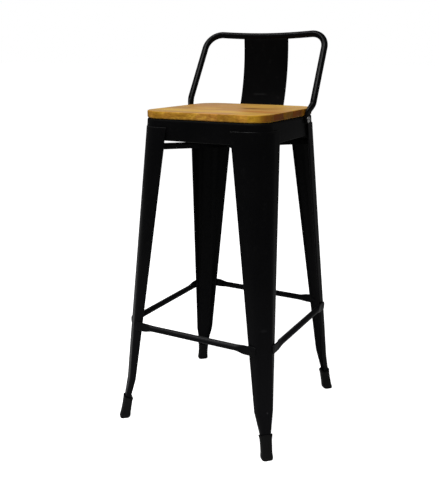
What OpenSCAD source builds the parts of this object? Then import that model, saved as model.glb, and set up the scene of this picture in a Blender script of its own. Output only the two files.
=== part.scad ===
// Bar stool: a wooden seat on a pressed steel pan, four folded sheet legs, a low tube back with a
// flat slat, a square of footrest tubes and crossed braces under the seat.
// Millimetres, +Z up, the front faces -Y, origin on the floor under the middle of the seat.

/* [Seat] */
// Height of the seat's top face
seat_h = 760; // [745:1:775]
// Width and depth of the wooden seat
seat_w = 310; // [304:1:316]
// Thickness of the wooden seat
seat_t = 16.5; // [14:0.5:19]
// Radius of the seat's corners in plan
seat_r = 50; // [44:1:56]
// Roundover along the seat's upper and lower edges
seat_edge = 3; // [1:0.5:4]

/* [Seat pan] */
// Height of the skirt's lower edge
skirt_h = 696; // [691:1:701]
// Half width of the skirt at its lower edge
skirt_half = 158; // [157:0.5:159]
// Outward slope of the skirt, per millimetre of drop
skirt_slope = 0.075; // [0.06:0.005:0.08]
// Thickness of the pan's sheet
pan_t = 1.5; // [1:0.1:1.8]

/* [Legs] */
// Height of the legs' top edge, on the skirt
leg_top = 725; // [718:1:728]
// Thickness of the leg's sheet
leg_t = 2; // [1.5:0.1:2.2]
// Distance from the stool's axis to a leg's outer face along the diagonal, at reference height
leg_web = 203.2; // [203:0.1:205]
// Outward lean of that face, per millimetre of drop
leg_lean = 0.1055; // [0.1:0.0005:0.11]
// Distance along the diagonal to the leg's free edges, at reference height
leg_tip = 173.4; // [172:0.1:175]
// Outward lean of the free edges, per millimetre of drop
tip_lean = 0.1335; // [0.13:0.0005:0.137]
// Half spread between a leg's two free edges, at reference height
tip_spread = 56; // [54:0.5:58]
// Narrowing of that spread, per millimetre of drop
tip_taper = 0.0546; // [0.052:0.0002:0.057]
// Height below which the legs kick outwards
kick_h = 107; // [100:1:115]
// Extra outward slope of the kick
kick_slope = 0.115; // [0.1:0.005:0.12]

/* [Footrest] */
// Height of the footrest tubes' centre line
rest_h = 251; // [240:1:262]
// Diameter of the footrest tubes
rest_d = 15; // [13:0.5:16]
// Thickness of a flattened tube end
rest_flat = 3; // [2.5:0.25:4]

/* [Back] */
// Diameter of the back's tube
back_d = 15.5; // [14:0.5:17]
// Height of the top rail's centre line
rail_h = 932; // [922:1:938]
// Backward lean of the uprights in degrees
back_lean = 29.4; // [27:0.1:31]
// Half distance between the uprights at the top
back_half = 162.5; // [160:0.5:164]
// Half distance between the uprights at the seat
back_half_low = 166.5; // [165:0.5:168]
// Bend radius of the tube's upper corners
back_r = 42; // [36:1:48]
// Backward bow of the top rail
rail_bow = 7; // [4:0.5:9]
// Dip of the top rail in its middle
rail_dip = 7; // [4:0.5:8]
// Width of the back slat
slat_w = 121; // [112:1:126]
// Radius of the slat's curve
slat_r = 385; // [385:5:440]

/* [Braces] */
// Height of a brace's section
brace_h = 12.5; // [11:0.5:15]
// Width of a brace's section
brace_w = 22; // [18:0.5:26]
// Height of the braces' top edge
brace_top = 684; // [679:1:687]

/* [Feet] */
// Height of a foot cap on its outer side
foot_h = 60; // [54:1:64]
// Slope of the cap's top edge, falling towards the stool's middle
foot_slant = 0.4; // [0:0.05:0.5]

/* [Hidden] */
$fn = 64;
eps = 0.01;

wood = "burlywood";
black = "dimgray";
rubber = "black";
zinc = "silver";

// Seat and pan
seat_half = seat_w / 2;
seat_low = seat_h - seat_t;
stave_count = 6;
stave_w = seat_w / stave_count;
stave_gap = 0.1;
pan_top = seat_low - 0.1;
skirt_r = 52;
corner_mid = skirt_half - skirt_r;
pan_bend = 5;
hem_r = 2.2;
screw_mid = 105;
screw_r = 1.8;
screw_depth = 12;
screw_hole_r = 2.4;
screw_head_r = 4.5;
screw_head_h = 3;
screw_socket_r = 1.4;
screw_socket_h = 1.4;

// Legs: a ring is drawn in the plane of the diagonal (a) and the tangent (b)
ref_h = 700;
fold_top = 57;
fold_low = 8;
fold_low_h = 200;
corner_top = 23.5;
corner_low = 18;
corner_ratio = 0.76;
fold_foot = 4;
kick_ease = 8;
kick_taper = 0.19;
tip_min = 11;
hem_w = 6;
leg_low = 12;
arc_steps = 6;
leg_levels = [
    leg_top, ref_h - 4, ref_h - 16, 640, 590, 530, 470, 410, 350, 290, 240, fold_low_h,
    150, kick_h + 10, kick_h, kick_h - 10, 80, 60, 40, leg_low
];

// Footrest
rest_overlap = 20;
rest_blend = 32;
rest_set = 2.2;
rivet_r = 2.5;
rivet_gap = 0.1;
tube_sides = 24;

// Braces
brace_sheet = 1.5;
brace_gap = 1.2;
end_rivet_r = 2;

// Back
tab_y = 80;
tab_w = 22;
tab_flat = 5.5;
tab_low_h = 726.2;
tab_bolt_h = 734.5;
fit_gap = 0.12;
tab_top_h = 745;
knee_top_h = 774;
back_mid_h = 891;
back_mid_y = 160;
slat_t = 1.6;
slat_mid_h = 883;
slat_back = 184;
slat_bend_h = 737;
slat_under_rail = 13.6;
slat_hem_r = 2.2;
slat_bolt_x = 35;
slat_bolt_h = 715;
bolt_r = 3;
bolt_gap = 0.2;
bolt_head_r = 6.2;
bolt_head_h = 3.6;
bolt_socket_r = 2.3;
nut_r = 5.8;
nut_h = 5;
washer_r = 8;
washer_t = 1.2;

// Feet
foot_wall = 2;
foot_floor = 11;
foot_mid_h = 45;

// ---------------------------------------------------------------- helpers

function clamp01(t) = min(1, max(0, t));
function mix(p, q, t) = p + (q - p) * t;
function smooth(t) = let (c = clamp01(t)) c * c * (3 - 2 * c);
function unit(v) = v / norm(v);

// Solid through a list of rings with equal numbers of points
module loft(rings) {
    n = len(rings[0]);
    m = len(rings);
    sides = [
        for (i = [0 : m - 2], j = [0 : n - 1])
            let (k = (j + 1) % n)
            each [[i * n + j, i * n + k, (i + 1) * n + k], [i * n + j, (i + 1) * n + k, (i + 1) * n + j]]
    ];
    first = [[for (j = [n - 1 : -1 : 0]) j]];
    last = [[for (j = [0 : n - 1]) (m - 1) * n + j]];
    polyhedron([for (r = rings) each r], concat(sides, first, last), convexity = 8);
}

// Ring of a tube at point p: the tube runs along t, and half sizes hu and hv lie across it.
// A high power squares the section, as a flattened tube end is
function tube_ring(p, t, plane, hu, hv, power = 2) =
    let (u = unit(cross(t, plane)), v = cross(u, t))
    [
        for (i = [0 : tube_sides - 1])
            let (a = 360 * i / tube_sides, c = cos(a), s = sin(a))
            p + u * hu * sign(c) * pow(abs(c), 2 / power) + v * hv * sign(s) * pow(abs(s), 2 / power)
    ];

// A profile (distance from the corner's centre, height) run round a square with round corners
module square_run(mid) {
    for (i = [0 : 3]) rotate(90 * i) {
        translate([mid, mid, 0]) rotate_extrude(angle = 90) children();
        translate([mid, mid, 0]) rotate([90, 0, 0]) linear_extrude(2 * mid) children();
    }
}

module round_square(half, r) {
    for (i = [0 : 3]) rotate(90 * i) translate([half - r, half - r]) circle(r);
    square([2 * half, 2 * (half - r)], center = true);
    square([2 * (half - r), 2 * half], center = true);
}

// ---------------------------------------------------------------- seat

// Everything outside the roundover at the board's upper and lower edges
module edge_waste() {
    difference() {
        translate([seat_r - seat_edge, seat_low - 1]) square([seat_edge + 2, seat_t + 2]);
        translate([seat_r - seat_edge, seat_low + seat_edge]) circle(seat_edge, $fn = 32);
        translate([seat_r - seat_edge, seat_h - seat_edge]) circle(seat_edge, $fn = 32);
        translate([seat_r - seat_edge, seat_low + seat_edge]) square([seat_edge, seat_t - 2 * seat_edge]);
    }
}

module seat_board() {
    difference() {
        translate([0, 0, seat_low]) linear_extrude(seat_t) round_square(seat_half, seat_r);
        square_run(seat_half - seat_r) edge_waste();
    }
}

// Staves are counted from the front of the seat
module seat_stave(i) {
    color(wood) difference() {
        intersection() {
            seat_board();
            translate([-seat_w, -seat_half + (i - 1) * stave_w + stave_gap / 2, seat_low - 1])
                cube([2 * seat_w, stave_w - stave_gap, seat_t + 2]);
        }
        screw_shanks(screw_r + 0.1, 2);
    }
}

// ---------------------------------------------------------------- seat pan

function skirt_at(h) = skirt_r - skirt_slope * (h - skirt_h);
function skirt_face(h) = corner_mid + skirt_at(h);

pan_bend_h = pan_top - pan_bend;
pan_bend_mid = skirt_at(pan_bend_h) - pan_bend;
hem_h = skirt_h + hem_r;

// Section of the pan's skirt, with the bend under the wood and a rolled lower hem
module skirt_profile() {
    polygon([
        [skirt_at(pan_bend_h), pan_bend_h], [skirt_at(hem_h), hem_h],
        [skirt_at(hem_h) - pan_t, hem_h], [skirt_at(pan_bend_h) - pan_t, pan_bend_h]
    ]);
    translate([skirt_at(hem_h) - hem_r, hem_h]) circle(hem_r, $fn = 24);
    translate([pan_bend_mid, pan_bend_h]) intersection() {
        difference() {
            circle(pan_bend);
            circle(pan_bend - pan_t);
        }
        square(pan_bend + 1);
    }
    translate([pan_bend_mid - 2, pan_top - pan_t]) square([2 + eps, pan_t]);
}

module seat_pan() {
    color(black) difference() {
        union() {
            square_run(corner_mid) skirt_profile();
            translate([0, 0, pan_top - pan_t]) linear_extrude(pan_t)
                round_square(corner_mid + pan_bend_mid, pan_bend_mid);
        }
        for (x = [-1, 1], y = [-1, 1])
            translate([x * screw_mid, y * screw_mid, pan_bend_h]) cylinder(r = screw_hole_r, h = 10);
        for (x = [-1, 1])
            translate([x * skirt_half, tab_y, tab_bolt_h]) rotate([0, 90, 0])
                cylinder(r = bolt_r + bolt_gap, h = 20, center = true);
        for (x = [-1, 1])
            translate([x * slat_bolt_x, skirt_half, slat_bolt_h]) rotate([90, 0, 0])
                cylinder(r = bolt_r + bolt_gap, h = 20, center = true);
    }
}

// The screws' shanks: they start a little below the board and end inside it
module screw_shanks(r, below) {
    for (x = [-1, 1], y = [-1, 1]) translate([x * screw_mid, y * screw_mid, seat_low - below])
        cylinder(r = r, h = screw_depth + below);
}

module screw_head() {
    difference() {
        intersection() {
            translate([0, -screw_head_r * 0.6]) circle(screw_head_r * 1.17);
            square([screw_head_r, screw_head_h]);
        }
        translate([0, screw_head_h - screw_socket_h]) square([screw_socket_r, screw_head_h]);
    }
}

module seat_screws() {
    color(zinc) {
        screw_shanks(screw_r, pan_t + 0.2);
        for (x = [-1, 1], y = [-1, 1]) translate([x * screw_mid, y * screw_mid, pan_top - pan_t])
            rotate([180, 0, 0]) rotate_extrude() screw_head();
    }
}

// ---------------------------------------------------------------- legs

// The kick begins with a short curve, from kick_ease above its height to kick_ease below it
function kick(h) = h > kick_h + kick_ease ? 0
    : h < kick_h - kick_ease ? kick_slope * (kick_h - h)
    : kick_slope * pow(kick_h + kick_ease - h, 2) / (4 * kick_ease);
function web_a(h) = leg_web + leg_lean * (ref_h - h) + kick(h);
function tip_a(h) = leg_tip + tip_lean * (ref_h - h) + kick(h) * 0.9;
function tip_b(h) =
    let (straight = tip_spread - tip_taper * (ref_h - max(h, kick_h)))
    max(tip_min, straight - kick_taper * max(0, kick_h - h));
function fold_t(h) = clamp01((ref_h - h) / (ref_h - fold_low_h));
function corner_b(h) = h > kick_h ? mix(corner_top, corner_low, fold_t(h)) : corner_ratio * tip_b(h);
function fold_r(h) = h < kick_h
    ? mix(fold_foot, fold_low, clamp01(h / kick_h))
    : mix(fold_top, fold_low, fold_t(h));
function hem_at(h) = leg_t * clamp01((skirt_h - 1 - h) / 6);

// Half of a leg's section from the middle of the web out to the free edge, at depth d in the sheet.
// The free edge is doubled over a short width as a hem
function half_section(h, d, inner) =
    let (
        turn = atan2(web_a(h) - tip_a(h), tip_b(h) - corner_b(h)),
        r = fold_r(h),
        mid = [web_a(h) - r, corner_b(h) - r * tan(turn / 2)],
        along = [-sin(turn), cos(turn)],
        out = [cos(turn), sin(turn)],
        tip = [tip_a(h), tip_b(h)] - out * d,
        hem = tip - along * hem_w,
        arc = [
            for (i = [0 : arc_steps])
                let (f = turn * i / arc_steps)
                mid + (r - d) * [cos(f), sin(f)]
        ]
    )
    inner ? concat(arc, [hem, hem - out * hem_at(h), tip - out * hem_at(h)])
          : concat(arc, [hem, tip]);

function flip(points) = [for (i = [len(points) - 1 : -1 : 0]) [points[i][0], -points[i][1]]];
function back_to_front(points) = [for (i = [len(points) - 1 : -1 : 0]) points[i]];

function leg_ring(h) =
    let (outer = half_section(h, 0, false), inner = half_section(h, leg_t, true))
    [
        for (p = concat(flip(outer), outer, back_to_front(inner), back_to_front(flip(inner))))
            [(p[0] + p[1]) / sqrt(2), (p[0] - p[1]) / sqrt(2), h]
    ];

// The leg of the +X, +Y corner
module leg_body() {
    difference() {
        loft([for (h = leg_levels) leg_ring(h)]);
        for (side = [0, 1]) mirror(side ? [1, -1, 0] : [0, 0, 0])
            translate([rest_mid, rest_rivet, rest_h]) rotate([0, 90, 0])
                cylinder(r = rivet_r + rivet_gap, h = 30, center = true);
    }
}

module leg(x, y) {
    color(black) mirror([x < 0 ? 1 : 0, 0, 0]) mirror([0, y < 0 ? 1 : 0, 0]) leg_body();
}

// ---------------------------------------------------------------- footrest

function to_xy(a, b) = [(a + b) / sqrt(2), (a - b) / sqrt(2)];
// Outer face of a leg's flange beside a tube end, and the middle of that flange
rest_tip = to_xy(tip_a(rest_h), tip_b(rest_h));
rest_mid = rest_tip[0] + rest_set / 2;
rest_rivet = rest_tip[1] + rest_overlap / 2;
rest_face = rest_tip[0] + rest_set + rest_flat / 2;
rest_end = rest_tip[1] + rest_overlap;

// Half widths of the tube at distance d from the middle: round, then flattened towards the end
function rest_ring(s, d, cap) =
    let (
        t = smooth((d - (rest_tip[1] - rest_blend)) / (rest_blend - 6)),
        flat_w = rest_d * 0.74,
        hu = mix(rest_d / 2, rest_flat / 2, t),
        hv = mix(rest_d / 2, flat_w, t) * cap,
        across = mix(rest_tip[0] + 0.5, rest_face, t)
    )
    tube_ring([across, s * d, rest_h], [0, 1, 0], [0, 0, 1], hu, hv, mix(2, 4, t));

module footrest_bar() {
    reach = [0, rest_tip[1] - rest_blend, rest_tip[1] - 26, rest_tip[1] - 20, rest_tip[1] - 14,
        rest_tip[1] - 8, rest_tip[1] - 4, rest_end - 6];
    caps = [[rest_end - 3, 0.95], [rest_end - 1, 0.8], [rest_end, 0.55]];
    half = concat([for (d = reach) [d, 1]], caps);
    rings = concat(
        [for (i = [len(half) - 1 : -1 : 1]) rest_ring(-1, half[i][0], half[i][1])],
        [for (p = half) rest_ring(1, p[0], p[1])]
    );
    difference() {
        loft(rings);
        for (s = [-1, 1]) translate([rest_face, s * rest_rivet, rest_h]) rotate([0, 90, 0])
            cylinder(r = rivet_r + rivet_gap, h = 20, center = true);
    }
}

module footrest(turn) {
    color(black) rotate(turn) footrest_bar();
}

// Rivet along +Z: the grip runs from 0 to g, with a domed head above and a tail below
module rivet(g, shank_r, head_r, head_h, tail) {
    ball = (head_r * head_r + head_h * head_h) / (2 * head_h);
    rotate_extrude() {
        translate([0, -eps]) square([shank_r, g + 2 * eps]);
        intersection() {
            translate([0, g + head_h - ball]) circle(ball);
            translate([0, g]) square([head_r, head_h]);
        }
        if (tail > 0) translate([0, -tail]) square([shank_r * 1.5, tail]);
    }
}

module footrest_rivets() {
    grip = rest_set + rest_flat + leg_t;
    color(black) for (i = [0 : 3], s = [-1, 1]) rotate(90 * i)
        translate([rest_face + rest_flat / 2 - grip, s * rest_rivet, rest_h]) rotate([0, 90, 0])
            rivet(grip, rivet_r, 4.5, 0.6, 1.2);
}

// ---------------------------------------------------------------- braces

// Distance from the stool's axis to the outer face of a brace's end flange
brace_reach = web_a(brace_top) - leg_t - brace_gap;
brace_mid = brace_top - brace_h / 2;

// A channel that lies along X, open below. Where the braces cross, each keeps half of its height:
// keep is 1 for the upper half and -1 for the lower
module brace_channel(keep) {
    notch = brace_w + 2 * brace_gap;
    difference() {
        translate([-brace_reach, -brace_w / 2, brace_top - brace_h])
            cube([2 * brace_reach, brace_w, brace_h]);
        translate([-brace_reach - 1, -brace_w / 2 + brace_sheet, brace_top - brace_h - 1])
            cube([2 * brace_reach + 2, brace_w - 2 * brace_sheet, brace_h + 1 - brace_sheet]);
        translate([0, 0, brace_mid - keep * (brace_h / 2 - fit_gap)])
            cube([notch, brace_w + 2, brace_h], center = true);
    }
}

// The channel's ends, turned down against the legs
module brace_flanges() {
    for (s = [0, 1]) rotate(180 * s) difference() {
        translate([brace_reach - brace_sheet, -brace_w / 2, brace_top - brace_h])
            cube([brace_sheet, brace_w, brace_h]);
        translate([brace_reach, 0, brace_mid]) rotate([0, 90, 0])
            cylinder(r = end_rivet_r + rivet_gap, h = 6, center = true);
    }
}

module brace(turn, keep) {
    color(black) rotate(turn) {
        brace_channel(keep);
        brace_flanges();
    }
}

module brace_rivets() {
    color(black) for (i = [0 : 3]) rotate(45 + 90 * i)
        translate([brace_reach, 0, brace_mid]) rotate([0, -90, 0])
            rivet(brace_sheet, end_rivet_r, 3.5, 1.75, 0);
}

// ---------------------------------------------------------------- back

lean_out = [0, cos(back_lean), -sin(back_lean)];
rail_y = back_mid_y + (rail_h - back_mid_h) * tan(back_lean);
corner_h = rail_h - back_r * cos(back_lean);
tab_x = skirt_face(tab_low_h) + fit_gap + tab_flat / 2;

// Point of the uprights' plane at height h
function lean_point(x, h) = [x, rail_y - (rail_h - h) * tan(back_lean), h];
// The rail's bow at distance x from its middle
function bow(x) = [0, rail_bow, -rail_dip] * cos(90 * min(1, abs(x) / back_half));

// The bend from the tab into the upright
function knee_t(h) = smooth((h - tab_top_h) / (knee_top_h - tab_top_h));
function knee_point(h) =
    let (t = knee_t(h), p = lean_point(back_half_low, knee_top_h))
    [mix(tab_x, p[0], t), mix(tab_y, p[1], t * mix(0.55, 1, t)), h];

// Centre line of the right half, from the tab up to the middle of the rail. Each entry has the point,
// the two half sizes of the section and its squareness
function back_half_path() = concat(
    [for (c = [[0, 0.3], [0.8, 0.55], [2.3, 0.76], [4.8, 0.93], [9.3, 1], [18.8, 1]])
        [[tab_x, tab_y, tab_low_h + c[0]], tab_flat / 2, tab_w / 2 * c[1], 4]],
    [for (h = [tab_top_h + 4 : 4 : knee_top_h - 4]) let (t = knee_t(h))
        [knee_point(h), mix(tab_flat, back_d, t) / 2, mix(tab_w, back_d, t) / 2, mix(4, 2, t)]],
    [for (i = [0 : 6]) let (h = mix(knee_top_h + 4, corner_h, i / 6))
        [lean_point(mix(back_half_low, back_half, i / 6), h), back_d / 2, back_d / 2, 2]],
    [for (i = [1 : 10])
        let (f = 9 * i, x = back_half - back_r * (1 - cos(f)), rise = back_r * sin(f) * cos(back_lean))
        [lean_point(x, corner_h + rise) + bow(x), back_d / 2, back_d / 2, 2]],
    [for (i = [1 : 5]) let (x = (back_half - back_r) * (1 - i / 5))
        [lean_point(x, rail_h) + bow(x), back_d / 2, back_d / 2, 2]]
);

function mirror_x(p) = [-p[0], p[1], p[2]];

module backrest_tube() {
    right = back_half_path();
    left = [for (i = [len(right) - 2 : -1 : 0]) let (r = right[i]) [mirror_x(r[0]), r[1], r[2], r[3]]];
    path = concat(right, left);
    last = len(path) - 1;
    rings = [
        for (i = [0 : last])
            let (p = path[i], t = unit(path[min(last, i + 1)][0] - path[max(0, i - 1)][0]))
            tube_ring(p[0], t, lean_out, p[1], p[2], p[3])
    ];
    color(black) difference() {
        loft(rings);
        for (x = [-1, 1]) translate([x * tab_x, tab_y, tab_bolt_h]) rotate([0, 90, 0])
            cylinder(r = bolt_r + bolt_gap, h = 20, center = true);
    }
}

// The slat is a curved sheet, part of a ring about an axis along X, on a flat foot against the rear skirt
slat_axis = [slat_back - slat_r, slat_mid_h];
slat_high_a = asin((rail_h - slat_under_rail - slat_mid_h) / slat_r);
slat_low_a = asin((slat_mid_h - slat_bend_h) / slat_r);
slat_foot_low = skirt_h + 7;
slat_foot_high = slat_bend_h + 2;

module slat_foot() {
    low = skirt_face(slat_foot_low) + fit_gap;
    high = skirt_face(slat_foot_high) + fit_gap;
    translate([-slat_w / 2, 0, 0]) rotate([90, 0, 90]) linear_extrude(slat_w) polygon([
        [low, slat_foot_low], [low + slat_t, slat_foot_low],
        [high + slat_t, slat_foot_high], [high, slat_foot_high]
    ]);
}

module slat_blade() {
    translate([-slat_w / 2, slat_axis[0], slat_axis[1]]) rotate([90, 0, 90]) rotate(-slat_low_a)
        rotate_extrude(angle = slat_high_a + slat_low_a, $fn = 180) {
            translate([slat_r, slat_hem_r]) square([slat_t, slat_w - 2 * slat_hem_r]);
            for (edge = [slat_hem_r, slat_w - slat_hem_r])
                translate([slat_r + slat_hem_r, edge]) circle(slat_hem_r, $fn = 20);
        }
}

module back_slat() {
    color(black) difference() {
        union() {
            slat_blade();
            slat_foot();
        }
        at_slat_bolts(skirt_half) cylinder(r = bolt_r + bolt_gap, h = 40, center = true);
    }
}

// Bolt along +Z with a low domed head and a hexagon socket: the shank runs from -g to 0
module bolt(g) {
    ball = (bolt_head_r * bolt_head_r + bolt_head_h * bolt_head_h) / (2 * bolt_head_h);
    difference() {
        rotate_extrude() {
            translate([0, -g]) square([bolt_r, g + eps]);
            intersection() {
                translate([0, bolt_head_h - ball]) circle(ball);
                square([bolt_head_r, bolt_head_h]);
            }
        }
        translate([0, 0, bolt_head_h / 2]) cylinder(r = bolt_socket_r, h = bolt_head_h, $fn = 6);
    }
}

module nut() {
    rotate(30) difference() {
        cylinder(r = nut_r, h = nut_h, $fn = 6);
        translate([0, 0, -1]) cylinder(r = bolt_r + 0.05, h = nut_h + 2);
    }
}

module washer() {
    difference() {
        cylinder(r = washer_r, h = washer_t);
        translate([0, 0, -1]) cylinder(r = bolt_r + bolt_gap, h = washer_t + 2);
    }
}

module at_back_tabs(x) {
    for (s = [0, 1]) mirror([s, 0, 0]) translate([x, tab_y, tab_bolt_h]) rotate([0, 90, 0]) children();
}

module at_slat_bolts(y) {
    for (x = [-1, 1]) translate([x * slat_bolt_x, y, slat_bolt_h]) rotate([-90, 0, 0]) children();
}

tab_face = tab_x + tab_flat / 2 + 0.05;
tab_nut = skirt_face(tab_bolt_h + nut_r) - pan_t - fit_gap - nut_h;
slat_face = skirt_face(slat_bolt_h - bolt_head_r) + fit_gap + slat_t + 0.05;
slat_nut = skirt_face(slat_bolt_h + nut_r) - pan_t - fit_gap - nut_h;

module back_bolts() {
    color(zinc) at_back_tabs(tab_face + washer_t + 0.05) bolt(tab_face + washer_t - tab_nut + 2);
}

module back_washers() {
    color(zinc) at_back_tabs(tab_face) washer();
}

module back_nuts() {
    color(zinc) at_back_tabs(tab_nut) nut();
}

module slat_bolts() {
    color(zinc) at_slat_bolts(slat_face) bolt(slat_face - slat_nut + 2);
}

module slat_nuts() {
    color(zinc) at_slat_bolts(slat_nut) nut();
}

// ---------------------------------------------------------------- feet

// Ring of a foot cap or of its pocket at height h: it stands out_a beyond the leg's web and in_a inside
// the leg's free edges, has half width b, is sloped by slant and has its corners cut off
function foot_ring(h, out_a, in_a, b, slant, cut) =
    let (a1 = web_a(h) + out_a, a0 = tip_a(h) - in_a, mid = (a0 + a1) / 2)
    [
        for (p = [[a1, b - cut], [a1 - cut, b], [a0 + cut, b], [a0, b - cut],
                  [a0, cut - b], [a0 + cut, -b], [a1 - cut, -b], [a1, cut - b]])
            [(p[0] + p[1]) / sqrt(2), (p[0] - p[1]) / sqrt(2), h + slant * (p[0] - mid)]
    ];

// One skin: up the inside of the pocket, over the rim and down the outside to the floor
module foot_body() {
    rim = foot_h - 5;
    b = tip_min + foot_wall;
    loft([
        foot_ring(foot_floor, 0.3, 1.2, tip_min + 0.3, 0, 0.5),
        foot_ring(foot_mid_h, 0.3, 1.2, tip_b(foot_mid_h) + 0.3, 0, 0.5),
        foot_ring(rim, 0.3, 1.2, tip_b(rim) + 0.3, foot_slant, 0.5),
        foot_ring(rim, 1.4, 6.6, tip_b(rim) + foot_wall - 0.8, foot_slant, 4.2),
        foot_ring(rim - 1, 2.2, 7.4, tip_b(rim) + foot_wall, foot_slant, 5),
        foot_ring(foot_mid_h, 2.2, 8, tip_b(foot_mid_h) + foot_wall, 0, 5),
        foot_ring(30, 2.2, 9, b, 0, 5),
        foot_ring(12, 2.4, 10, b, 0, 5),
        foot_ring(6, 3, 10.8, b + 0.7, 0, 5),
        foot_ring(2, 3, 10.8, b + 0.7, 0, 5),
        foot_ring(0, 1.6, 9.4, b - 0.7, 0, 5)
    ]);
}

module foot(x, y) {
    color(rubber) mirror([x < 0 ? 1 : 0, 0, 0]) mirror([0, y < 0 ? 1 : 0, 0]) foot_body();
}

seat_stave(1);  // seat_stave_1
seat_stave(2);  // seat_stave_2
seat_stave(3);  // seat_stave_3
seat_stave(4);  // seat_stave_4
seat_stave(5);  // seat_stave_5
seat_stave(6);  // seat_stave_6
seat_pan();
seat_screws();
leg(-1, -1);  // leg_front_left
leg(1, -1);  // leg_front_right
leg(-1, 1);  // leg_rear_left
leg(1, 1);  // leg_rear_right
footrest(-90);  // footrest_front
footrest(90);  // footrest_rear
footrest(180);  // footrest_left
footrest(0);  // footrest_right
footrest_rivets();
brace(45, 1);  // brace_front_left
brace(-45, -1);  // brace_front_right
brace_rivets();
backrest_tube();
back_slat();
back_bolts();
back_washers();
back_nuts();
slat_bolts();
slat_nuts();
foot(-1, -1);  // foot_front_left
foot(1, -1);  // foot_front_right
foot(-1, 1);  // foot_rear_left
foot(1, 1);  // foot_rear_right
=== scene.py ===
import math
from itertools import product

import bmesh
import bpy
from mathutils import Matrix, Vector


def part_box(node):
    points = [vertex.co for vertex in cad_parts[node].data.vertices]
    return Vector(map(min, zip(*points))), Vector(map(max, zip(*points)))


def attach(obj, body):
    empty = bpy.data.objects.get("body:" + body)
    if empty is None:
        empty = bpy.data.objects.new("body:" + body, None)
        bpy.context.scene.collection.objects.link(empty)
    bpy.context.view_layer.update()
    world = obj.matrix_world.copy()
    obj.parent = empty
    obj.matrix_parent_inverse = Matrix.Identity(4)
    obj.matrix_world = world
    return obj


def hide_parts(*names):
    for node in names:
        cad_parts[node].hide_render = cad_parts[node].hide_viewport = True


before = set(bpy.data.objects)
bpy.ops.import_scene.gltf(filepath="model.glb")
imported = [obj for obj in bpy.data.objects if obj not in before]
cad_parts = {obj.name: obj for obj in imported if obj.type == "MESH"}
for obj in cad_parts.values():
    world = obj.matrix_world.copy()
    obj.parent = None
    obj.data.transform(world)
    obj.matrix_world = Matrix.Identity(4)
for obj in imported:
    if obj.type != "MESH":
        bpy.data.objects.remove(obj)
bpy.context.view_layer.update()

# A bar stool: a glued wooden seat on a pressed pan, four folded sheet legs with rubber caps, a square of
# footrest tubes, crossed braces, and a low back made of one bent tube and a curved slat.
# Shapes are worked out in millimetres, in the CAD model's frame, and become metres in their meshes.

MM = 0.001


def node_box(node):
    """Lowest and highest corner of a CAD node, in millimetres."""
    low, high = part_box(node)
    return Vector(low) / MM, Vector(high) / MM


# ---------------------------------------------------------------- sizes, in millimetres

LATHE_SIDES = 32

# Seat and pan
SEAT_LOW = node_box("seat_stave_1")[0].z
SEAT_TOP = node_box("seat_stave_1")[1].z
SEAT_HALF = node_box("seat_stave_1")[1].x
SEAT_R = 50
SEAT_EDGE = 3
CORNER_STEPS = 14
STAVES = 6
STAVE_W = 2 * SEAT_HALF / STAVES
STAVE_BEVEL = 0.35
PAN_TOP = node_box("seat_pan")[1].z
PAN_T = 1.5
PAN_BEND = 5
SKIRT_LOW = node_box("seat_pan")[0].z
SKIRT_HALF = 158
SKIRT_R = 52
SKIRT_SLOPE = 0.075
CORNER_MID = SKIRT_HALF - SKIRT_R
HEM_R = 2.2
SCREW_HEAD_R = 4.5

# Legs, drawn in the plane of the diagonal (a) and the tangent (b)
LEG_TOP = node_box("leg_front_right")[1].z
LEG_LOW = node_box("leg_front_right")[0].z
LEG_T = 2
LEG_HEM_W = 6
LEG_HEM_GAP = 0.05
LEG_HEM_EASE = 6
LEG_HEM_FULL_H = 684
REF_H = 700
WEB_A, WEB_LEAN = 203.2, 0.1055
TIP_A, TIP_LEAN = 173.4, 0.1335
TIP_B, TIP_TAPER = 56, 0.0546
KICK_H, KICK_EASE, KICK_SLOPE, KICK_TAPER = 107, 8, 0.115, 0.19
KICK_TIP = 0.9
TIP_MIN = 11
FOLD_TOP, FOLD_LOW, FOLD_FOOT, FOLD_LOW_H = 57, 8, 4, 200
CORNER_TOP, CORNER_LOW, CORNER_RATIO = 23.5, 18, 0.76

# Footrest
TUBE_SIDES = 40
REST_LOW, REST_HIGH = node_box("footrest_right")
REST_H = (REST_LOW.z + REST_HIGH.z) / 2
REST_D = 15
REST_FLAT = 3
REST_FLAT_W = (REST_HIGH.z - REST_LOW.z) / 2
REST_SET = 2.2
REST_OVERLAP = 20
REST_BLEND = 32
REST_ROUND = 7

# Rivets
RIVET_R, RIVET_HEAD_R, RIVET_HEAD_H, RIVET_TAIL = 2.5, 4.5, 0.6, 1.2
END_RIVET_R, END_RIVET_HEAD_R, END_RIVET_HEAD_H = 2, 3.5, 1.75

# Braces
BRACE_LOW, BRACE_TOP = (corner.z for corner in node_box("brace_front_left"))
BRACE_MID = (BRACE_LOW + BRACE_TOP) / 2
BRACE_W = 22
BRACE_SHEET = 1.5
BRACE_BEND = 2.8
BRACE_GAP = 1.2
BRACE_LAP = 2
BRACE_SHAVE = 0.05
FLANGE_R = 2.5
FLANGE_EASE = 0.35

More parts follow.
